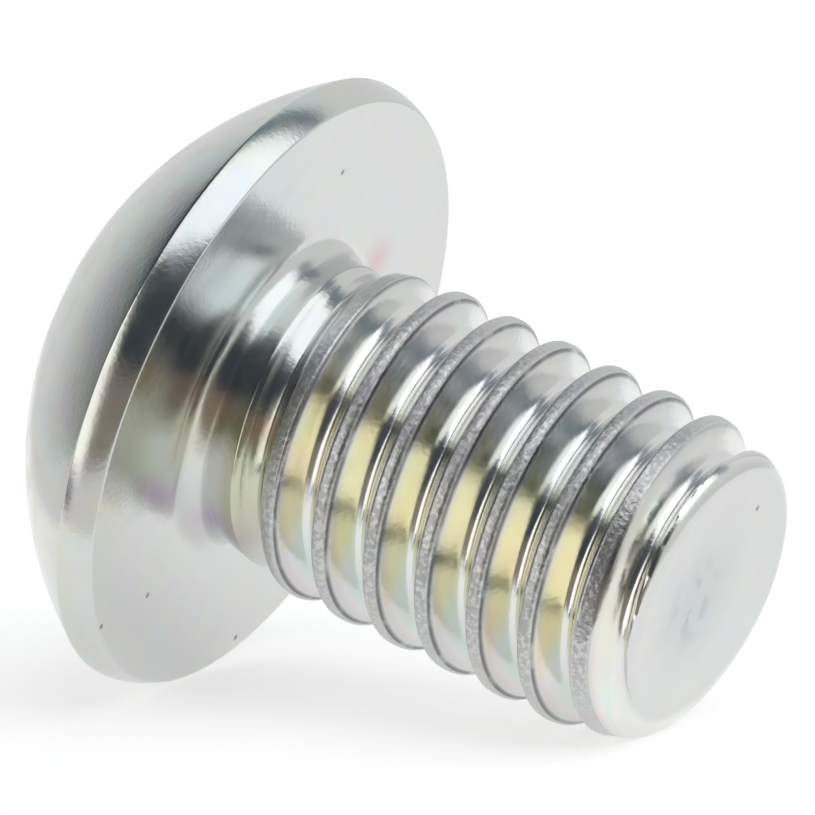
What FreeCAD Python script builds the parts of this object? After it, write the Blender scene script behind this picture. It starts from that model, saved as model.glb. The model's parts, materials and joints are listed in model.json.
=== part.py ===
import FreeCAD, Part
import math
import os

# A button head screw with a hexagon socket, M4 x 0.7 and 6 mm long, in zinc plated steel.
# It is cold headed and thread rolled from one wire blank, so it is one solid.
#
# The screw is drawn on its own axis first: the bearing face under the head is at height 0,
# the head lies below it, and the tip of the thread is at height length. It is then laid on
# its side as it comes to rest, on the rim of its head and on the last crest of its thread,
# with the tip towards +X. Every size is in millimetres, and every angle in degrees.

# Head
head_diameter = 7.45          # widest, where the dome meets the rim
head_height = 2.13            # from the bearing face to the flat round the socket
rim_height = 0.40             # from the bearing face to the dome's edge
rim_inset = 0.125             # how far the rim curves in to the bearing face, in radius
socket_land = 0.165           # width of the flat between the socket's mouth and the dome
dome_edge_round = 0.08
bearing_edge_round = 0.04

# Hexagon socket
socket_across_flats = 2.50
socket_depth = 1.30           # to where the six walls end
socket_bottom_angle = 120     # full angle of the cone at the bottom
socket_mouth_chamfer = 0.06   # outside the hexagon's corners, at 45 degrees

# Shank and thread
length = 5.95                 # from the bearing face to the tip
neck_fillet = 0.28
thread_diameter = 3.94        # over the crests
pitch = 0.70
crest_flat = 0.14
root_radius = 0.10
root_flats = 3                # the round root is drawn as so many flats
flank_angle = 60              # between the two flanks of the groove
thread_start = 0.35           # from the bearing face to where the thread begins to rise
thread_full = 1.35            # from the bearing face to where it has its full form
tip_taper_length = 0.90       # the last crests get lower over this length
tip_diameter = 3.40           # where that taper meets the end face
tip_chamfer = 0.12            # at 45 degrees, round the end face
last_crest_from_tip = 0.38    # on the side that the screw lies on
sectors = 8                   # each turned surface of the shank is so many faces

# Sizes that follow from those above
head_radius = head_diameter / 2
bearing_radius = head_radius - rim_inset
thread_radius = thread_diameter / 2
neck_radius = thread_radius - 0.3248 * pitch   # the blank is as thick as the pitch diameter
half_flank = math.radians(flank_angle / 2)
groove_mouth = pitch - crest_flat
sharp_root_radius = thread_radius - groove_mouth / 2 / math.tan(half_flank)
root_floor_radius = sharp_root_radius + root_radius * (1 / math.sin(half_flank) - 1)
rim_radius = (rim_height ** 2 + rim_inset ** 2) / (2 * rim_inset)
rim_center_radius = head_radius - rim_radius
socket_corner_radius = socket_across_flats / math.sqrt(3)
socket_mouth_radius = socket_corner_radius + socket_mouth_chamfer
top_flat_radius = socket_mouth_radius + socket_land
dome_height = head_height - rim_height
dome_rise = (head_radius ** 2 - top_flat_radius ** 2 - dome_height ** 2) / (2 * dome_height)
dome_center = dome_rise - rim_height
dome_radius = math.hypot(head_radius, dome_rise)
tip_radius = tip_diameter / 2
taper_start = length - tip_taper_length
chamfer_start = length - tip_chamfer

origin = FreeCAD.Vector(0, 0, 0)
up = FreeCAD.Vector(0, 0, 1)
across = FreeCAD.Vector(0, 1, 0)


def point(radius, height):
    """A point of a profile, which is drawn in the plane y = 0."""
    return FreeCAD.Vector(radius, 0, height)


def lines(points):
    """Straight edges from each point to the next."""
    return [Part.LineSegment(a, b).toShape() for a, b in zip(points, points[1:])]


def arc(center, radius, first_angle, last_angle):
    """An arc of a profile, with its angles counted from the radial direction."""
    angles = [first_angle, (first_angle + last_angle) / 2, last_angle]
    ends = [
        point(center.x + radius * math.cos(angle), center.z + radius * math.sin(angle))
        for angle in angles
    ]
    return Part.Arc(*ends).toShape()


def turned(edges):
    """The solid of a closed profile turned about the screw's axis."""
    return Part.Face(Part.Wire(edges)).revolve(origin, up, 360)


def turned_in_sectors(edges):
    """The solid of an open profile from axis to axis, its surface in equal sectors."""
    step = 360.0 / sectors
    faces = []
    for edge in edges:
        sector = edge.revolve(origin, up, step)
        faces += [sector.rotated(origin, up, step * (index + 0.5)) for index in range(sectors)]
    shell = Part.makeShell(faces)
    shell.sewShape()
    return Part.makeSolid(shell)


def circular_edges(solid, radius, height):
    """The edges of a turned solid at one radius and height."""
    return [
        edge for edge in solid.Edges
        if isinstance(edge.Curve, Part.Circle)
        and abs(edge.Curve.Radius - radius) < 1e-6
        and abs(edge.Curve.Center.z - height) < 1e-6
    ]


def head():
    """The head: flat top, dome, barrel shaped rim and flat bearing face."""
    dome_top = math.atan2(-head_height - dome_center, top_flat_radius)
    dome_edge = math.atan2(-rim_height - dome_center, head_radius)
    rim_end = math.atan2(rim_height, bearing_radius - rim_center_radius)
    outline = lines([point(0, 0), point(0, -head_height), point(top_flat_radius, -head_height)])
    outline.append(arc(point(0, dome_center), dome_radius, dome_top, dome_edge))
    outline.append(arc(point(rim_center_radius, -rim_height), rim_radius, 0, rim_end))
    outline += lines([point(bearing_radius, 0), point(0, 0)])
    solid = turned(outline)
    solid = solid.makeFillet(dome_edge_round, circular_edges(solid, head_radius, -rim_height))
    return solid.makeFillet(bearing_edge_round, circular_edges(solid, bearing_radius, 0))


def socket():
    """The hexagon socket: six walls, a cone at the bottom and a chamfered mouth."""
    clear = head_height
    corners = []
    for index in range(7):
        turn = math.radians(60 * index)
        x = socket_corner_radius * math.cos(turn)
        y = socket_corner_radius * math.sin(turn)
        corners.append(FreeCAD.Vector(x, y, -head_height - clear))
    walls = Part.Face(Part.makePolygon(corners)).extrude(up * (clear + socket_depth))
    bottom_radius = socket_across_flats / 2
    bottom_height = bottom_radius / math.tan(math.radians(socket_bottom_angle / 2))
    bottom = Part.makeCone(bottom_radius, 0, bottom_height, point(0, socket_depth - head_height), up)
    mouth = Part.makeCone(socket_mouth_radius, 0, socket_mouth_radius, point(0, -head_height), up)
    return walls.fuse([bottom, mouth])


def crest_radius(height):
    """The shank's radius over its crests: neck, rise, full thread, taper and chamfer."""
    rise = (thread_radius - neck_radius) / (thread_full - thread_start)
    taper = (thread_radius - tip_radius) / tip_taper_length
    rising = neck_radius + rise * max(height - thread_start, 0)
    tapering = thread_radius - taper * max(height - taper_start, 0)
    chamfer = (1 - taper) * max(height - chamfer_start, 0)
    return min(rising, tapering - chamfer)


def shank():
    """The shank before its groove is rolled in, with the fillet that joins it to the head."""
    foot = -rim_height / 2
    fillet_center = point(neck_radius + neck_fillet, neck_fillet)
    outline = lines([point(0, foot), point(fillet_center.x, foot), point(fillet_center.x, 0)])
    outline.append(arc(fillet_center, neck_fillet, -math.pi / 2, -math.pi))
    heights = [neck_fillet, thread_start, thread_full, taper_start, chamfer_start, length]
    outline += lines([point(crest_radius(height), height) for height in heights] + [point(0, length)])
    return turned_in_sectors(outline)


def groove():
    """The helical groove: straight flanks and a round root, past both ends of the thread."""
    outer = thread_radius + crest_flat / 2
    half_width = (outer - sharp_root_radius) * math.tan(half_flank)
    root_center = root_floor_radius + root_radius
    side = math.pi / 2 - half_flank
    root = []
    for index in range(root_flats + 1):
        turn = -side + 2 * side * index / root_flats
        root.append(point(root_center - root_radius * math.cos(turn), root_radius * math.sin(turn)))
    corners = [point(outer, half_width), point(outer, -half_width)] + root
    profile = Part.Wire(lines(corners + corners[:1]))

    lowest = thread_start - pitch
    crests_above = math.ceil((length - last_crest_from_tip - lowest) / pitch)
    start = length - last_crest_from_tip - (crests_above + 0.5) * pitch
    turns = crests_above + 2
    helix = Part.makeLongHelix(pitch, turns * pitch, thread_radius, 0)
    sweep = Part.BRepOffsetAPI.MakePipeShell(Part.Wire(helix.Edges))
    sweep.setFrenetMode(True)
    sweep.add(profile)
    sweep.build()
    sweep.makeSolid()
    return sweep.shape().translated(point(0, start))


def unrolled_core():
    """What the groove leaves standing: all of the neck, then a core that shrinks to the roots."""
    fade = (neck_radius - root_floor_radius) / (thread_full - thread_start)
    low = thread_start - 2 * pitch
    high = thread_full + pitch
    outside = thread_radius + pitch
    outline = lines([
        point(0, low),
        point(outside, low),
        point(outside, thread_start),
        point(neck_radius, thread_start),
        point(root_floor_radius - fade * pitch, high),
        point(0, high),
        point(0, low),
    ])
    return turned(outline)


def underside_radius(height):
    """The thread's radius on the side that the screw lies on, above the roots."""
    past_crest = (height - (length - last_crest_from_tip) + pitch / 2) % pitch - pitch / 2
    flank = thread_radius - (abs(past_crest) - crest_flat / 2) / math.tan(half_flank)
    return min(crest_radius(height), flank)


def rest_tilt():
    """How far the axis dips towards the tip when the screw lies on its rim and a crest."""
    tilts = []
    for step in range(1, 4001):
        height = thread_start + (length - thread_start) * step / 4000
        along = height + rim_height
        inwards = rim_center_radius - underside_radius(height)
        distance = math.hypot(along, inwards)
        tilts.append(math.atan2(inwards, along) + math.asin(rim_radius / distance))
    return math.degrees(min(tilts))


def lying(solid):
    """The screw laid on the ground, with the origin below the middle of its outline."""
    laid = solid.rotated(origin, across, 90 + rest_tilt())
    box = laid.optimalBoundingBox(False, False)
    middle = FreeCAD.Vector((box.XMin + box.XMax) / 2, (box.YMin + box.YMax) / 2, box.ZMin)
    return laid.translated(-middle)


threaded_shank = shank().cut(groove().cut(unrolled_core()))
screw = lying(head().fuse(threaded_shank).cut(socket()))

os.makedirs("parts", exist_ok=True)
screw.exportStep("parts/screw.step")
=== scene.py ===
import json
import math

import bmesh
import bpy
import numpy as np
from mathutils import Matrix, Vector


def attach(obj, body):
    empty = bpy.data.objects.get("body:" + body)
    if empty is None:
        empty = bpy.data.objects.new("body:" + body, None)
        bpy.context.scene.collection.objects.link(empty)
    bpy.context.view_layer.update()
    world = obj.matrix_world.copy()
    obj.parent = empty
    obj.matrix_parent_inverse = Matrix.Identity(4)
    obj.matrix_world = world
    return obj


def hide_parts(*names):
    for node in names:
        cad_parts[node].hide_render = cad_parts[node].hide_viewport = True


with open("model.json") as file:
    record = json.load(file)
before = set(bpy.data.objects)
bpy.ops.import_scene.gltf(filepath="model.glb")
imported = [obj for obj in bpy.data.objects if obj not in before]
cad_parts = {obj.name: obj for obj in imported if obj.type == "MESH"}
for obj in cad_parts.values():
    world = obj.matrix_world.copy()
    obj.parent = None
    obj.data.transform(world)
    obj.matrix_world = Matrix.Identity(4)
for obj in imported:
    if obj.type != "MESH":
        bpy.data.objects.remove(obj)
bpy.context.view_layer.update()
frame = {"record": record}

# The screw, M4 x 0.7 and 6 mm long, is one piece of zinc plated steel: its head is cold
# formed from the wire with the hexagon punched in, and its thread is rolled on afterwards,
# which is why the thread swells out of a plain neck and its last crests are lower.
mm = 0.001
head_radius = 3.725
head_height = 2.13
rim_height = 0.40
rim_inset = 0.125
socket_land = 0.165
bearing_edge_round = 0.05
dome_edge_round = 0.07
socket_across_flats = 2.50
socket_depth = 1.30
socket_bottom_angle = 120
socket_mouth_chamfer = 0.06
length = 5.95
neck_fillet = 0.28
thread_radius = 1.97
pitch = 0.70
crest_flat = 0.14
crest_round = 0.06
neck_blend = 0.10
root_radius = 0.10
half_flank = math.radians(30)
thread_start = 0.35
thread_full = 1.35
tip_taper_length = 0.90
tip_radius = 1.70
tip_taper_power = 1.3
tip_taper_lean = 0.3
tip_edge_round = 0.19
tip_edge_less = 0.07
tip_edge_side = math.radians(150)
last_crest_from_tip = 0.38
pitch_line_depth = 0.3248     # of the pitch: the blank is as thick as the pitch diameter
columns = 240
flat_margin = 0.02            # the rows beside a flat face's edges keep it flat
merge_reach = 1e-4
sharp_angle = math.radians(44)

socket_mouth = socket_across_flats / math.sqrt(3) + socket_mouth_chamfer
neck_radius = thread_radius - pitch_line_depth * pitch
sharp_root_radius = thread_radius - (pitch - crest_flat) / 2 / math.tan(half_flank)
root_floor_radius = sharp_root_radius + root_radius * (1 / math.sin(half_flank) - 1)
azimuth = np.linspace(0, 2 * math.pi, columns + 1)
tip_round = tip_edge_round - tip_edge_less * np.cos(azimuth - tip_edge_side)


def rounded_least(first, second, blend):
    """The lesser of two radii, rounded where they cross: less their overlap squared."""
    overlap = np.maximum(blend - np.abs(first - second), 0)
    return np.minimum(first, second) - overlap ** 2 / (4 * blend)


def crest_line(turn, height):
    """The radius over the crests: the neck, a straight rise, the full thread, and a taper that
    grows with a power of the way into it, which is least on the side that the screw lies on."""
    rise = (thread_radius - neck_radius) / (thread_full - thread_start)
    rising = neck_radius + rise * np.maximum(height - thread_start, 0)
    taper_power = tip_taper_power - tip_taper_lean * np.cos(turn)
    into_taper = np.maximum(height - (length - tip_taper_length), 0) / tip_taper_length
    tapering = thread_radius - (thread_radius - tip_radius) * into_taper ** taper_power
    return np.minimum(rising, tapering)


def thread_surface(turn, height):
    """The shank's radius at an azimuth and height: straight flanks with a round root,
    topped by the crest line, on a core that shrinks from the neck as the groove deepens."""
    crest = length - last_crest_from_tip + pitch * turn / (2 * math.pi)
    past_crest = np.abs((height - crest + pitch / 2) % pitch - pitch / 2)
    flank = thread_radius - (past_crest - crest_flat / 2) / math.tan(half_flank)
    past_root = np.minimum(pitch / 2 - past_crest, root_radius)
    root = root_floor_radius + root_radius - np.sqrt(root_radius ** 2 - past_root ** 2)
    in_root = pitch / 2 - past_crest < root_radius * math.cos(half_flank)
    groove = np.where(in_root, root, flank)
    fade = (neck_radius - root_floor_radius) / (thread_full - thread_start)
    core = neck_radius - fade * (height - thread_start)
    groove = -rounded_least(-groove, -core, neck_blend)
    return rounded_least(crest_line(turn, height), groove, crest_round)


def ring(radius, height):
    """A row of the surface: one radius and one height for every azimuth, or one for all."""
    row = np.empty((columns + 1, 3))
    row[:, 0] = radius * np.cos(azimuth)
    row[:, 1] = radius * np.sin(azimuth)
    row[:, 2] = height
    return row


def arc_rings(center_radius, center_height, radius, first, last, steps):
    """Rows along an arc of the turned profile, its angles counted from the radial direction."""
    angles = np.radians(np.linspace(first, last, steps))
    return [
        ring(center_radius + radius * math.cos(a), center_height + radius * math.sin(a))
        for a in angles
    ]


def flat_rings(first, last, height, steps):
    """Rows across a flat face, with one close to each of its two edges."""
    inset = math.copysign(flat_margin, last - first)
    radii = np.linspace(first + inset, last - inset, steps)
    return [ring(first, height), *[ring(r, height) for r in radii], ring(last, height)]


def socket_rings():
    """From the point of the bottom cone out to the flat round the socket. The hexagon is a
    radius over azimuth: half the distance across flats over the cosine from the nearest one."""
    half_flats = socket_across_flats / 2
    from_flat = (azimuth % (math.pi / 3)) - math.pi / 6
    hexagon = half_flats / np.cos(from_flat)
    floor = socket_depth - head_height
    cone_depth = half_flats / math.tan(math.radians(socket_bottom_angle / 2))
    rows = [ring(half_flats * t, floor + cone_depth * (1 - t)) for t in np.linspace(0, 1, 9)]
    rows += [ring(half_flats + (hexagon - half_flats) * t, floor) for t in (0.3, 0.7, 1)]
    wall_top = -head_height + socket_mouth - hexagon
    wall_steps = (0.03, 0.2, 0.5, 0.8, 0.97, 1)
    rows += [ring(hexagon, floor + (wall_top - floor) * t) for t in wall_steps]
    for t in (0.5, 1):
        chamfer = hexagon + (socket_mouth - hexagon) * t
        rows.append(ring(chamfer, wall_top + (-head_height - wall_top) * t))
    return rows


def head_rings():
    """From the socket's mouth over the dome and round the barrel shaped rim, then across
    the bearing face and up the fillet to the neck. The rim is an arc that stands upright at
    the widest circle and leans in to the bearing face."""
    rim_radius = (rim_height ** 2 + rim_inset ** 2) / (2 * rim_inset)
    rim_center = head_radius - rim_radius
    rim_end = math.degrees(math.atan2(rim_height, rim_radius - rim_inset))
    top = socket_mouth + socket_land
    dome_height = head_height - rim_height
    dome_rise = (head_radius ** 2 - top ** 2 - dome_height ** 2) / (2 * dome_height)
    dome_center = dome_rise - rim_height
    dome_radius = math.hypot(head_radius, dome_rise)
    dome_top = math.degrees(math.atan2(-head_height - dome_center, top))
    dome_edge = math.degrees(math.atan2(-rim_height - dome_center, head_radius))
    half_turn = math.radians(-dome_edge / 2)
    edge_gap = dome_edge_round * math.tan(half_turn)
    dome_gap = math.degrees(edge_gap / dome_radius)
    rim_gap = math.degrees(edge_gap / rim_radius)
    rim_lift = math.degrees(bearing_edge_round * 0.5 / rim_radius)
    foot = neck_radius + neck_fillet
    rows = flat_rings(socket_mouth, top, -head_height, 3)[1:]
    rows += arc_rings(0, dome_center, dome_radius, dome_top, dome_edge - dome_gap, 30)[1:]
    round_center = head_radius - dome_edge_round
    round_height = -rim_height + edge_gap
    rows += arc_rings(round_center, round_height, dome_edge_round, dome_edge, 0, 7)[1:-1]
    rows += arc_rings(rim_center, -rim_height, rim_radius, rim_gap, rim_end - rim_lift, 12)
    edge_start = math.radians(rim_end - rim_lift)
    corner = rim_center + rim_radius * math.cos(edge_start)
    drop = rim_radius * math.sin(edge_start) - rim_height
    for t in np.linspace(0, 1, 6)[1:]:
        inwards = bearing_edge_round * (0.6 * t + 0.4 * t ** 2)
        rows.append(ring(corner - inwards, drop * (1 - t) ** 2))
    rows += flat_rings(corner - bearing_edge_round, foot, 0, 8)[1:]
    rows += arc_rings(foot, neck_fillet, neck_fillet, 270, 180, 14)[1:]
    return rows


def thread_rings(bottom, top):
    """Rows that climb with the thread, one pitch a turn. Their offsets from the crest are
    closest at its two edges and in the root, and rows past either end are held at it."""
    edge = crest_flat / 2
    root = pitch / 2 - root_radius * math.cos(half_flank)
    side = np.concatenate([
        [0, edge * 0.5],
        np.linspace(edge - 0.02, edge + 0.03, 6),
        np.linspace(edge + 0.06, root - 0.02, 4),
        np.linspace(root, pitch / 2, 5)[:-1],
    ])
    offsets = np.concatenate([-side[::-1], side[1:], [pitch / 2]])
    rows = [ring(thread_surface(azimuth, bottom), bottom)]
    turns = math.ceil(length / pitch) + 2
    for turn in range(-turns, 2):
        for offset in offsets:
            start = length - last_crest_from_tip + turn * pitch + offset
            height = np.clip(start + pitch * azimuth / (2 * math.pi), bottom, top)
            if height.max() > bottom and np.any(height < top):
                rows.append(ring(thread_surface(azimuth, height), height))
    return [*rows, ring(thread_surface(azimuth, top), top)]


def tip_rings():
    """The rounded edge, a quarter circle taken off the thread's own surface, and the flat
    end. The edge is rounder on one side, as tip_round has it."""
    rows = []
    for lean in np.radians(np.linspace(0, 90, 11))[1:]:
        height = length - tip_round * (1 - math.sin(lean))
        radius = thread_surface(azimuth, height) - tip_round * (1 - math.cos(lean))
        rows.append(ring(radius, height))
    edge = thread_surface(azimuth, length) - tip_round
    end_steps = (0.985, 0.9, 0.75, 0.6, 0.45, 0.3, 0.15, 0)
    return rows + [ring(edge * t, length) for t in end_steps]


rows = socket_rings() + head_rings()
rows += thread_rings(neck_fillet, length - tip_round) + tip_rings()
turned = np.array(rows)
last_crest = length - last_crest_from_tip + pitch * azimuth / (2 * math.pi)
past_crest = (turned[:, :, 2] - last_crest + pitch / 2) % pitch - pitch / 2
plain = (turned[:, :, 2] < thread_start) | (turned[:, :, 2] > length - tip_round)
from_crest = np.where(plain, pitch / 2, np.abs(past_crest))
tip_facing = np.where(plain, 0, np.sin(2 * math.pi * past_crest / pitch))
count = len(rows)
index = np.arange(count * (columns + 1)).reshape(count, columns + 1)
quads = np.stack([index[:-1, :-1], index[:-1, 1:], index[1:, 1:], index[1:, :-1]], axis=-1)

bearing = next(m for m in frame["record"]["mounts"] if m["name"] == "bearing_face")
axis = Vector(bearing["axis"]).normalized()
bearing_center = Vector((bearing["pos_m"][0], 0, bearing["pos_m"][2]))
across = Vector((0, 1, 0))
down = across.cross(axis)
to_row = np.array([down, across, axis])
place = turned.reshape(-1, 3) @ to_row * mm + np.array(bearing_center)

screw_mesh = bpy.data.meshes.new("screw")
screw_mesh.from_pydata(place, [], quads.reshape(-1, 4))
local = screw_mesh.attributes.new("turned_mm", "FLOAT_VECTOR", "POINT")
local.data.foreach_set("vector", turned.reshape(-1).astype(np.float32))
for name, values in (("from_crest_mm", from_crest), ("tip_facing", tip_facing)):
    drawn = screw_mesh.attributes.new(name, "FLOAT", "POINT")
    drawn.data.foreach_set("value", values.reshape(-1).astype(np.float32))
work = bmesh.new()
work.from_mesh(screw_mesh)
bmesh.ops.remove_doubles(work, verts=work.verts, dist=merge_reach * mm)
bmesh.ops.dissolve_degenerate(work, edges=work.edges, dist=merge_reach / 10 * mm)
bmesh.ops.recalc_face_normals(work, faces=work.faces)
work.to_mesh(screw_mesh)
work.free()
screw_mesh.shade_smooth()
screw_mesh.set_sharp_from_angle(angle=sharp_angle)
screw = bpy.data.objects.new("button_head_screw", screw_mesh)
bpy.context.scene.collection.objects.link(screw)

# The plating is bright, with a thin film that tints it: yellow in the grooves on one side,
# and faint blue, green and pink in soft clouds and fringes. The crests are matt and worn, with
# a dark lip on the side of the tip, and a few pits are left in the flat faces.
bare_zinc = (0.67, 0.68, 0.68)
# Brighter in the grooves than on the flats: painted light that lifts the reflections inside the
# grooves.
groove_zinc_painted_brighter = (0.79, 0.795, 0.79)
crest_tint = (0.95, 0.945, 0.95)
worn_tint = (0.7, 0.69, 0.72)
lip_tint = (0.34, 0.33, 0.36)
yellow_tint = (1.0, 0.925, 0.6)
rosy_tint = (1.0, 0.93, 0.98)
green_tint = (0.9, 1.0, 0.98)
neck_tint = (0.86, 0.87, 0.7)
# Painted shade: the middle of the end face is darkened to stand in for a darker reflection
# there.
end_shade_tint = (0.86, 0.87, 0.89)
smudge_tint = (0.8, 0.8, 0.81)
pit_tint = (0.35, 0.34, 0.33)

# Where a finish begins and where it is full, in millimetres: heights from the bearing face,
# and offsets from the middle of the nearest crest.
thread_heights = (0.8, 1.3)
end_heights = (length - 0.13, length - 0.02)
neck_heights = (0.4, 0.6)
neck_end_heights = (0.9, 1.3)
lip_end_heights = (4.8, 5.2)
yellow_end_heights = (5.0, 5.4)
film_heights = (-0.3, -0.1)
crest_offsets = (0.06, 0.11)
groove_offsets = (0.09, 0.18)
root_offsets = (0.25, 0.33)
lip_offsets = (0.08, 0.095)
lip_end_offsets = (0.10, 0.125)
rosy_offsets = (0.13, 0.21)
green_offsets = (0.17, 0.25)

# The same for a side of the shank: its azimuth in degrees, and distances out on that side.
yellow_side = (265, 1.25, 1.6)
rosy_side = (320, 1.2, 1.6)
neck_side = (290, 1.2, 1.7)
worn_side = (250, 0.4, 1.7)

# The film's colours over its clouds' noise. Its fringes, the painted shade that darkens the
# middle of the end face, and the smudge on the end face each have a middle and a reach. The
# pits are given by their middles.
film = [
    (0.36, (0.95, 0.985, 1.0)), (0.44, (0.94, 1.0, 0.96)), (0.51, (1.0, 0.99, 0.9)),
    (0.58, (1.0, 0.94, 0.96)), (0.66, (0.97, 0.97, 1.0)),
]
fringes = [
    ((-2.2, -2.0, 0.0), 1.9, (0.9, 0.97, 1.0)),
    ((-1.32, 1.67, 0.0), 0.5, (1.0, 0.78, 0.84)),
    ((1.28, -1.3, 0.5), 0.55, (0.88, 0.74, 0.98)),
    ((0.1, -1.95, 0.0), 0.8, (1.0, 0.98, 0.84)),
    ((0.2, -2.8, 0.0), 0.9, (0.93, 1.0, 0.93)),
    ((0.8, -3.3, 0.0), 0.8, (1.0, 0.97, 0.88)),
    ((-0.3, -1.7, 0.25), 0.4, (1.0, 0.8, 0.76)),
    ((-0.22, -1.66, 0.79), 0.35, (1.0, 0.8, 0.76)),
    ((0.0, -3.1, -1.2), 1.0, (1.0, 0.95, 0.99)),
    ((1.1, -2.9, -1.1), 0.9, (1.0, 0.98, 0.92)),
]
# Where the painted shade darkens the middle of the end face, and how far it reaches.
end_painted_shade = ((-0.05, -0.3, length), 1.3)
end_smudge = ((-0.05, -0.37, length), 0.75)
pits = [
    (2.23, -1.64, 0), (2.43, -2.58, 0), (3.3, 0.94, 0), (-2.75, 0.13, 0), (-1.08, 0.55, length),
]
pit_floor, pit_edge = 0.015, 0.05

# Clouds to the millimetre and octaves of detail, and the depth that the grain is bumped to.
film_clouds = (1.1, 3.0)
mottle_clouds = (2.2, 3.0)
smudge_clouds = (4.0, 3.0)
streak_clouds = (17.0, 3.0)
grain_clouds = (16.0, 4.0)
bump_depth = 0.0012

zinc = bpy.data.materials.new("zinc_plated_steel")
zinc.use_nodes = True
zinc_tree = zinc.node_tree
shader = zinc_tree.nodes["Principled BSDF"]


def reckon(tree, operation, *values):
    """A math node on sockets or plain numbers, and its result."""
    node = tree.nodes.new("ShaderNodeMath")
    node.operation = operation
    for socket, value in zip(node.inputs, values):
        if isinstance(value, bpy.types.NodeSocket):
            tree.links.new(value, socket)
        else:
            socket.default_value = value
    return node.outputs[0]


def both(tree, *masks):
    """Where two masks meet, or more: their product."""
    product = masks[0]
    for mask in masks[1:]:
        product = reckon(tree, "MULTIPLY", product, mask)
    return product


def eased(value, limits, low=0.0, high=1.0):
    """Low up to the first limit and high from the last on, with a smooth step between."""
    node = zinc_tree.nodes.new("ShaderNodeMapRange")
    node.interpolation_type = "SMOOTHSTEP"
    zinc_tree.links.new(value, node.inputs["Value"])
    for name, number in zip(("From Min", "From Max", "To Min", "To Max"), (*limits, low, high)):
        node.inputs[name].default_value = number
    return node.outputs["Result"]


def fading(value, limits, left=0.0):
    """1 up to the first limit, and what is left from the last on."""
    return eased(value, limits, 1.0, left)


def drawn_on(name, output):
    """One of the screw's own attributes, which its patterns are drawn on."""
    node = zinc_tree.nodes.new("ShaderNodeAttribute")
    node.attribute_name = name
    return node.outputs[output]


spot = drawn_on("turned_mm", "Vector")
split = zinc_tree.nodes.new("ShaderNodeSeparateXYZ")
zinc_tree.links.new(spot, split.inputs[0])
height = split.outputs["Z"]
beside_crest = drawn_on("from_crest_mm", "Fac")


def cloudy(scale, detail):
    """Noise with so many clouds to the millimetre."""
    node = zinc_tree.nodes.new("ShaderNodeTexNoise")
    zinc_tree.links.new(spot, node.inputs["Vector"])
    node.inputs["Scale"].default_value = scale
    node.inputs["Detail"].default_value = detail
    return node.outputs[0]


def near(center, reach, core=0.0):
    """1 up to the core's distance from a point of the screw, and 0 from its reach on."""
    node = zinc_tree.nodes.new("ShaderNodeVectorMath")
    node.operation = "DISTANCE"
    zinc_tree.links.new(spot, node.inputs[0])
    node.inputs[1].default_value = center
    return fading(node.outputs["Value"], (core, reach))


def towards(side, first, last):
    """A mask for one side of the shank, at an azimuth in degrees: the distance out on that
    side is x times the azimuth's cosine plus y times its sine."""
    x_share, y_share = math.cos(math.radians(side)), math.sin(math.radians(side))
    out = reckon(zinc_tree, "MULTIPLY", split.outputs["X"], x_share)
    out = reckon(zinc_tree, "MULTIPLY_ADD", split.outputs["Y"], y_share, out)
    return eased(out, (first, last))


def tinted(color, mask, tint):
    """A colour multiplied by a tint as far as the mask goes."""
    node = zinc_tree.nodes.new("ShaderNodeMix")
    node.data_type = "RGBA"
    node.blend_type = "MULTIPLY"
    zinc_tree.links.new(mask, node.inputs["Factor"])
    zinc_tree.links.new(color, node.inputs["A"])
    if isinstance(tint, bpy.types.NodeSocket):
        zinc_tree.links.new(tint, node.inputs["B"])
    else:
        node.inputs["B"].default_value = (*tint, 1)
    return node.outputs["Result"]


mottle = cloudy(*mottle_clouds)
threaded = eased(height, thread_heights)
faces_tip = eased(drawn_on("tip_facing", "Fac"), (0.0, 0.3))
on_crest = both(zinc_tree, fading(beside_crest, crest_offsets), threaded)
in_groove = both(zinc_tree, eased(beside_crest, groove_offsets), threaded)
in_groove = both(zinc_tree, in_groove, fading(height, end_heights))
flank = both(zinc_tree, in_groove, faces_tip, fading(beside_crest, root_offsets))
lip = both(zinc_tree, eased(beside_crest, lip_offsets), fading(beside_crest, lip_end_offsets))
lip = both(zinc_tree, lip, threaded, faces_tip, eased(mottle, (0.3, 0.5), 0.4))
lip = both(zinc_tree, lip, fading(height, lip_end_heights, 0.25))
yellow = both(zinc_tree, flank, towards(*yellow_side), fading(height, yellow_end_heights, 0.3))
rosy = both(zinc_tree, flank, towards(*rosy_side), fading(beside_crest, rosy_offsets))
green = both(zinc_tree, flank, towards(*rosy_side), eased(beside_crest, green_offsets))
at_neck = both(zinc_tree, eased(height, neck_heights), fading(height, neck_end_heights))
at_neck = both(zinc_tree, at_neck, towards(*neck_side))
streaks = fading(cloudy(*streak_clouds), (0.45, 0.6))
worn = both(zinc_tree, on_crest, towards(*worn_side), streaks)
smudge = both(zinc_tree, near(*end_smudge), eased(cloudy(*smudge_clouds), (0.48, 0.62)))

clouds = zinc_tree.nodes.new("ShaderNodeValToRGB")
zinc_tree.links.new(cloudy(*film_clouds), clouds.inputs["Fac"])
while len(clouds.color_ramp.elements) < len(film):
    clouds.color_ramp.elements.new(0.5)
for element, (position, tint) in zip(clouds.color_ramp.elements, film):
    element.position = position
    element.color = (*tint, 1)
film_strength = eased(height, film_heights, 0.95, 0.45)

# The zinc is painted brighter in the grooves, as painted light for their reflections.
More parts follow.
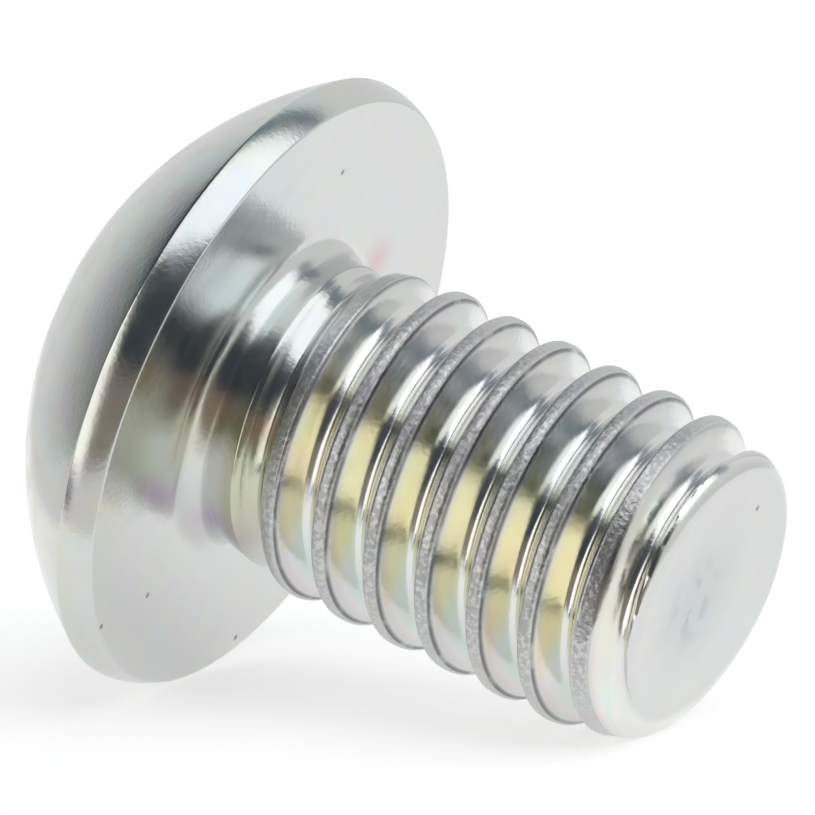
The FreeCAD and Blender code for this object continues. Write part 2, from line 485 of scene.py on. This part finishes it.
zinc_with_painted_groove_light = zinc_tree.nodes.new("ShaderNodeMix")
zinc_with_painted_groove_light.data_type = "RGBA"
zinc_tree.links.new(in_groove, zinc_with_painted_groove_light.inputs["Factor"])
zinc_with_painted_groove_light.inputs["A"].default_value = (*bare_zinc, 1)
zinc_with_painted_groove_light.inputs["B"].default_value = (*groove_zinc_painted_brighter, 1)
color = tinted(zinc_with_painted_groove_light.outputs["Result"], film_strength, clouds.outputs["Color"])
color = tinted(color, yellow, yellow_tint)
color = tinted(color, rosy, rosy_tint)
color = tinted(color, green, green_tint)
color = tinted(color, at_neck, neck_tint)
for center, reach, tint in fringes:
    color = tinted(color, near(center, reach), tint)
color = tinted(color, on_crest, crest_tint)
color = tinted(color, worn, worn_tint)
# Painted shade: the middle of the end face darkened, standing in for a darker reflection.
color = tinted(color, near(*end_painted_shade), end_shade_tint)
color = tinted(color, smudge, smudge_tint)
for center in pits:
    color = tinted(color, near(center, pit_edge, pit_floor), pit_tint)
color = tinted(color, lip, lip_tint)
zinc_tree.links.new(color, shader.inputs["Base Color"])
shader.inputs["Metallic"].default_value = 1.0

# The finish is a little dull in patches and duller on the crests, which have most of the grain.
dull = reckon(zinc_tree, "MULTIPLY_ADD", on_crest, 0.2, eased(mottle, (0.3, 0.7), 0.14, 0.24))
zinc_tree.links.new(dull, shader.inputs["Roughness"])
grain_share = reckon(zinc_tree, "MULTIPLY_ADD", on_crest, 9.0, 1.5)
waves = reckon(zinc_tree, "MULTIPLY", mottle, 2.0)
grain = cloudy(*grain_clouds)
relief = reckon(zinc_tree, "MULTIPLY_ADD", grain, grain_share, waves)
bump = zinc_tree.nodes.new("ShaderNodeBump")
bump.inputs["Strength"].default_value = 1.0
bump.inputs["Distance"].default_value = bump_depth * mm
zinc_tree.links.new(relief, bump.inputs["Height"])
zinc_tree.links.new(bump.outputs["Normal"], shader.inputs["Normal"])
screw_mesh.materials.append(zinc)

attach(screw, "root")
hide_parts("screw")

# Camera: a long lens on the photograph's side, held level and looking down by 12 degrees. It
# aims so that the middle of the bearing face lands on its pixel in the photograph.
view_azimuth = math.radians(29.48)
view_elevation = math.radians(11.91)
px_per_mm = 88.0
bearing_center_px = (272.0, 392.6)
frame_px = 815
camera_distance = 300 * mm
sensor_width = 36
sight = Vector((
    -math.sin(view_azimuth) * math.cos(view_elevation),
    math.cos(view_azimuth) * math.cos(view_elevation),
    -math.sin(view_elevation),
))
right = Vector((math.cos(view_azimuth), math.sin(view_azimuth), 0))
up = right.cross(sight)
aside = (frame_px / 2 - bearing_center_px[0]) / px_per_mm * mm
above = (bearing_center_px[1] - frame_px / 2) / px_per_mm * mm
aim = bearing_center + right * aside + up * above
camera_data = bpy.data.cameras.new("camera")
camera_data.sensor_width = sensor_width
camera_data.lens = sensor_width * camera_distance / (frame_px / px_per_mm * mm)
camera_data.clip_start = 0.01
camera_data.clip_end = 10
camera = bpy.data.objects.new("camera", camera_data)
turn = Matrix((right, up, -sight)).transposed().to_4x4()
camera.matrix_world = Matrix.Translation(aim - sight * camera_distance) @ turn
bpy.context.scene.collection.objects.link(camera)
bpy.context.scene.camera = camera
bpy.context.scene.view_settings.view_transform = "Standard"


# The ground is a sheet of white paper, cut off short in front and on the left. It is lifted
# to white where it is seen or mirrored, and keeps the soft shadow that the screw throws. Its
# outline is in millimetres to the right and away from the camera.
ground_outline = [(-10, -2.9), (-2.6, -3.3), (5, -6.8), (34, -6.8), (34, 46), (-10, 46)]
paper_white = (0.74, 0.735, 0.73)
paper_lift = 0.54


def seen_or_mirrored(tree):
    """1 for a ray from the camera or from a glossy or clear surface, else 0."""
    path = tree.nodes.new("ShaderNodeLightPath")
    seen = reckon(tree, "MAXIMUM", path.outputs["Is Camera Ray"], path.outputs["Is Glossy Ray"])
    return reckon(tree, "MAXIMUM", seen, path.outputs["Is Transmission Ray"])


ground_mesh = bpy.data.meshes.new("ground")
away = Vector((-math.sin(view_azimuth), math.cos(view_azimuth), 0))
ground_corners = [right * u * mm + away * v * mm for u, v in ground_outline]
ground_mesh.from_pydata(ground_corners, [], [range(len(ground_corners))])
ground = bpy.data.objects.new("ground", ground_mesh)
bpy.context.scene.collection.objects.link(ground)
paper = bpy.data.materials.new("white_paper")
paper.use_nodes = True
paper_shader = paper.node_tree.nodes["Principled BSDF"]
paper_shader.inputs["Base Color"].default_value = (*paper_white, 1)
paper_shader.inputs["Roughness"].default_value = 1.0
paper_shader.inputs["Specular IOR Level"].default_value = 0.0
paper_shader.inputs["Emission Color"].default_value = (1, 1, 1, 1)
lift = reckon(paper.node_tree, "MULTIPLY", seen_or_mirrored(paper.node_tree), paper_lift)
paper.node_tree.links.new(lift, paper_shader.inputs["Emission Strength"])
ground_mesh.materials.append(paper)

# The studio is a pale tent. A soft lamp hangs over the camera with a dark gap behind it, a
# bright card stands to the left, and the rest of the camera's side and the upper left are
# dark. Its patches are laid on by angles in degrees: upwards round from the camera's side,
# and sideways to the right.
wall_light = (0.79, 0.80, 0.80)
left_dusk = (0.2, 0.22, 0.225)
upper_left_dark = (0.055, 0.07, 0.08)
gap_behind_lamp = (0.22, 0.26, 0.3)
camera_side = (0.26, 0.23, 0.19)
opening_by_camera = (0.05, 0.058, 0.07)
strip_under_card = (0.1, 0.105, 0.1)
lamp_light = (1.4, 1.43, 1.44)
card_light = (1.42, 1.4, 1.34)
tent = bpy.data.worlds.new("light_tent")
bpy.context.scene.world = tent
tent.use_nodes = True
tent_tree = tent.node_tree
way = tent_tree.nodes.new("ShaderNodeTexCoord").outputs["Generated"]


def part_along(direction):
    """How far a ray of the tent points along a fixed direction, from -1 to 1."""
    node = tent_tree.nodes.new("ShaderNodeVectorMath")
    node.operation = "DOT_PRODUCT"
    tent_tree.links.new(way, node.inputs[0])
    node.inputs[1].default_value = direction
    return node.outputs["Value"]


def degrees(socket):
    """An angle in degrees."""
    return reckon(tent_tree, "MULTIPLY", socket, 180 / math.pi)


sideways = degrees(reckon(tent_tree, "ARCSINE", part_along(right)))
upwards = degrees(reckon(tent_tree, "ARCTAN2", part_along(up), part_along(-sight)))


def within(value, first, last, soft):
    """1 between two values and 0 outside them, with a soft step of that width at each."""
    middle, half = (first + last) / 2, (last - first) / 2
    off = reckon(tent_tree, "ABSOLUTE", reckon(tent_tree, "SUBTRACT", value, middle))
    step = tent_tree.nodes.new("ShaderNodeMapRange")
    step.interpolation_type = "SMOOTHSTEP"
    tent_tree.links.new(off, step.inputs["Value"])
    step.inputs["From Min"].default_value = half + soft / 2
    step.inputs["From Max"].default_value = half - soft / 2
    return step.outputs["Result"]


def slanted(slope):
    """The angle upwards plus so much of the angle sideways, for an edge that slopes down."""
    return reckon(tent_tree, "MULTIPLY_ADD", sideways, slope, upwards)


def window(upward_limits, sideways_limits, slope=0.0):
    """A patch between two angles upwards and two sideways, each with its softness."""
    high_and_low = within(slanted(slope), *upward_limits)
    return both(tent_tree, high_and_low, within(sideways, *sideways_limits))


def laid_over(color, mask, light):
    """A patch of the tent's wall in its own light."""
    node = tent_tree.nodes.new("ShaderNodeMix")
    node.data_type = "RGBA"
    tent_tree.links.new(mask, node.inputs["Factor"])
    tent_tree.links.new(color, node.inputs["A"])
    node.inputs["B"].default_value = (*light, 1)
    return node.outputs["Result"]


behind = within(part_along(sight), -2, 0.59, 0.58)
dusk = both(tent_tree, behind, window((60, 185, 30), (-100, -6, 24)))
lamp_top = both(tent_tree, within(slanted(-1.05), -200, 83, 8), within(upwards, -90, 86, 8))
lamp = both(tent_tree, window((35, 200, 8), (-29, 62, 8), 0.35), lamp_top)
card = both(tent_tree, window((-200, -4, 10), (-80, -38, 10), 1.2), within(upwards, -53, 90, 6))
plain_wall = tent_tree.nodes.new("ShaderNodeRGB")
plain_wall.outputs[0].default_value = (*wall_light, 1)
wall = plain_wall.outputs[0]
for mask, light in (
    (dusk, left_dusk),
    (window((24, 128, 16), (-100, -8, 16)), upper_left_dark),
    (window((88, 108, 10), (-20, 60, 20)), gap_behind_lamp),
    (window((-47, 26, 8), (-40, 50, 16)), camera_side),
    (window((-16, 34, 14), (-32, 40, 14), 0.35), opening_by_camera),
    (window((-75, -52, 8), (-85, -45, 10)), strip_under_card),
    (lamp, lamp_light),
    (card, card_light),
):
    wall = laid_over(wall, mask, light)

# A ray straight from the camera sees a white backdrop instead.
tent_light = tent_tree.nodes["Background"]
tent_tree.links.new(wall, tent_light.inputs["Color"])
backdrop = tent_tree.nodes.new("ShaderNodeBackground")
backdrop.inputs["Color"].default_value = (1, 1, 1, 1)
choice = tent_tree.nodes.new("ShaderNodeMixShader")
tent_path = tent_tree.nodes.new("ShaderNodeLightPath")
tent_tree.links.new(tent_path.outputs["Is Camera Ray"], choice.inputs["Fac"])
tent_tree.links.new(tent_light.outputs[0], choice.inputs[1])
tent_tree.links.new(backdrop.outputs[0], choice.inputs[2])
tent_tree.links.new(choice.outputs[0], tent_tree.nodes["World Output"].inputs["Surface"])
